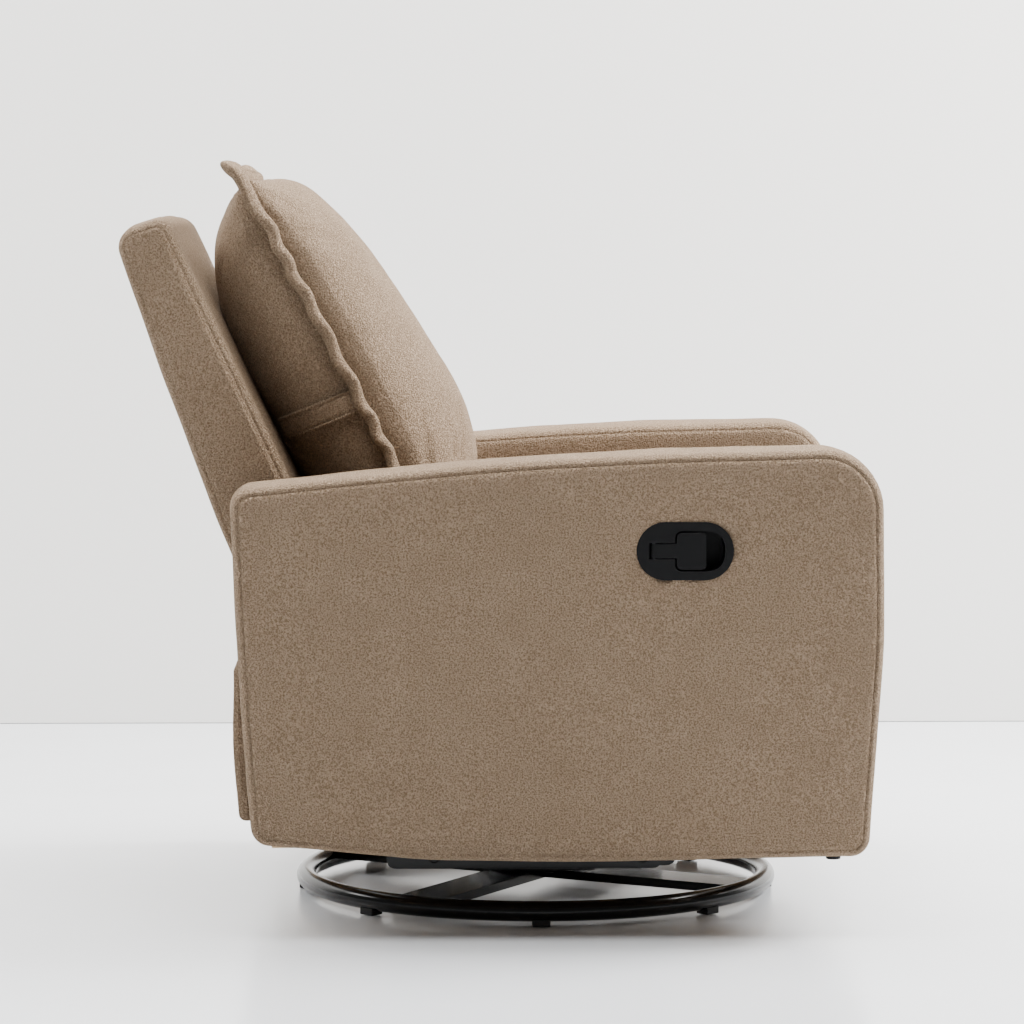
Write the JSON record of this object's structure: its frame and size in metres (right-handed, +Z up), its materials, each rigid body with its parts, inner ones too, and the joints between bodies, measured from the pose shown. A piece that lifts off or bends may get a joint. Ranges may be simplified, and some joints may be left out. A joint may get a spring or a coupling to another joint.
{
  "type": "swivel glider recliner",
  "caption": "Upholstered nursery chair that swivels on a steel ring, glides on hanging links, reclines at the back and opens a footrest with a paddle in the right arm.",
  "frame": {"origin": "on the floor under the middle of the chair's outline, with the footrest shut and the back upright", "axes": "+Z up, the chair faces -Y, its sitter's left is +X"},
  "size_m": [0.8025, 0.9177, 0.9133],
  "materials": {
    "fleece_fabric": "matte curly fleece",
    "black_steel": "gloss powder coat",
    "zinc_steel": "zinc plated",
    "black_plastic": "matte",
    "rubber": "matte",
    "plywood": "raw plywood",
    "spring_wire": "oiled spring wire"
  },
  "bodies": {
    "base": {"base_ring": "black_steel", "base_cross": "black_steel", "ring_pad_1": "rubber", "ring_pad_2": "rubber", "ring_pad_3": "rubber", "ring_pad_4": "rubber", "ring_pad_5": "rubber", "ring_pad_6": "rubber", "ring_pad_7": "rubber", "ring_pad_8": "rubber", "swivel_pedestal": "black_steel", "swivel_bearing": "zinc_steel", "king_pin": "zinc_steel"},
    "carrier": {"swivel_plate": "black_steel", "glide_rail_left": "black_steel", "glide_rail_right": "black_steel"},
    "glide_links_front": {"glide_link_front_left": "black_steel", "glide_link_front_right": "black_steel"},
    "glide_links_rear": {"glide_link_rear_left": "black_steel", "glide_link_rear_right": "black_steel"},
    "seat": {"glide_hanger_left": "black_steel", "glide_hanger_right": "black_steel", "side_rail_left": "plywood", "side_rail_right": "plywood", "front_rail": "plywood", "cross_board_front": "plywood", "cross_board_rear": "plywood", "rear_rail": "plywood", "seat_spring_1": "spring_wire", "seat_spring_2": "spring_wire", "seat_spring_3": "spring_wire", "arm_frame_left": "plywood", "arm_frame_right": "plywood", "arm_upholstery_left": "fleece_fabric", "arm_upholstery_right": "fleece_fabric", "arm_stub_left": "black_plastic", "arm_stub_right": "black_plastic", "release_cup": "black_plastic", "release_pin": "zinc_steel", "seat_cushion": "fleece_fabric", "rear_panel": "fleece_fabric"},
    "back": {"back_board": "plywood", "recline_bracket_left": "black_steel", "recline_bracket_right": "black_steel", "back_upholstery": "fleece_fabric", "back_pillow": "fleece_fabric", "pillow_strap_left": "fleece_fabric", "pillow_strap_right": "fleece_fabric"},
    "footrest_cranks": {"footrest_crank_left": "black_steel", "footrest_crank_right": "black_steel", "footrest_tube": "black_steel"},
    "footrest_arms": {"footrest_arm_left": "black_steel", "footrest_arm_right": "black_steel"},
    "footrest_stays": {"footrest_stay_left": "black_steel", "footrest_stay_right": "black_steel"},
    "footrest": {"footrest_board": "plywood", "footrest_pad": "fleece_fabric", "footrest_bracket_left": "black_steel", "footrest_bracket_right": "black_steel"},
    "paddle": {"release_paddle": "black_plastic"}
  },
  "joints": [
    {"name": "swivel", "type": "hinge", "parent": "base", "child": "carrier", "pos_m": [0, -0.054, 0.039], "axis": [0, 0, 1], "continuous": true},
    {"name": "glide_front", "type": "hinge", "parent": "carrier", "child": "glide_links_front", "pos_m": [0, -0.184, 0.153], "axis": [1, 0, 0], "range_deg": [-25, 25]},
    {"name": "glide_seat", "type": "hinge", "parent": "glide_links_front", "child": "seat", "pos_m": [0, -0.184, 0.063], "axis": [1, 0, 0], "range_deg": [-26, 26]},
    {"name": "glide_rear", "type": "hinge", "parent": "carrier", "child": "glide_links_rear", "pos_m": [0, 0.076, 0.153], "axis": [1, 0, 0], "range_deg": [-26, 26]},
    {"name": "recline", "type": "hinge", "parent": "seat", "child": "back", "pos_m": [0, 0.215, 0.325], "axis": [-1, 0, 0], "range_deg": [0, 32]},
    {"name": "footrest_crank", "type": "hinge", "parent": "seat", "child": "footrest_cranks", "pos_m": [0, -0.3, 0.28], "axis": [-1, 0, 0], "range_deg": [0, 140]},
    {"name": "footrest_arm", "type": "hinge", "parent": "footrest_cranks", "child": "footrest_arms", "pos_m": [0, -0.12679, 0.18], "axis": [-1, 0, 0], "range_deg": [-133, 1]},
    {"name": "footrest_stay", "type": "hinge", "parent": "seat", "child": "footrest_stays", "pos_m": [0, -0.359, 0.2826], "axis": [-1, 0, 0], "range_deg": [-1, 146]},
    {"name": "footrest_tilt", "type": "hinge", "parent": "footrest_arms", "child": "footrest", "pos_m": [0, -0.42475, 0.215], "axis": [-1, 0, 0], "range_deg": [-1, 73]},
    {"name": "paddle_pull", "type": "hinge", "parent": "seat", "child": "paddle", "pos_m": [-0.396, -0.184, 0.465], "axis": [0, 0, -1], "range_deg": [0, 30], "stiffness_Nm_per_rad": 0.15, "springref_deg": -20.05}
  ],
  "couplings": [
    {"joint": "glide_seat", "follows": "glide_front", "ratio": -1},
    {"joint": "glide_rear", "follows": "glide_front", "ratio": 1},
    {"joint": "footrest_arm", "follows": "footrest_crank", "ratio": -0.9407},
    {"joint": "footrest_stay", "follows": "footrest_crank", "ratio": 1.0329},
    {"joint": "footrest_tilt", "follows": "footrest_crank", "ratio": 0.5121}
  ]
}
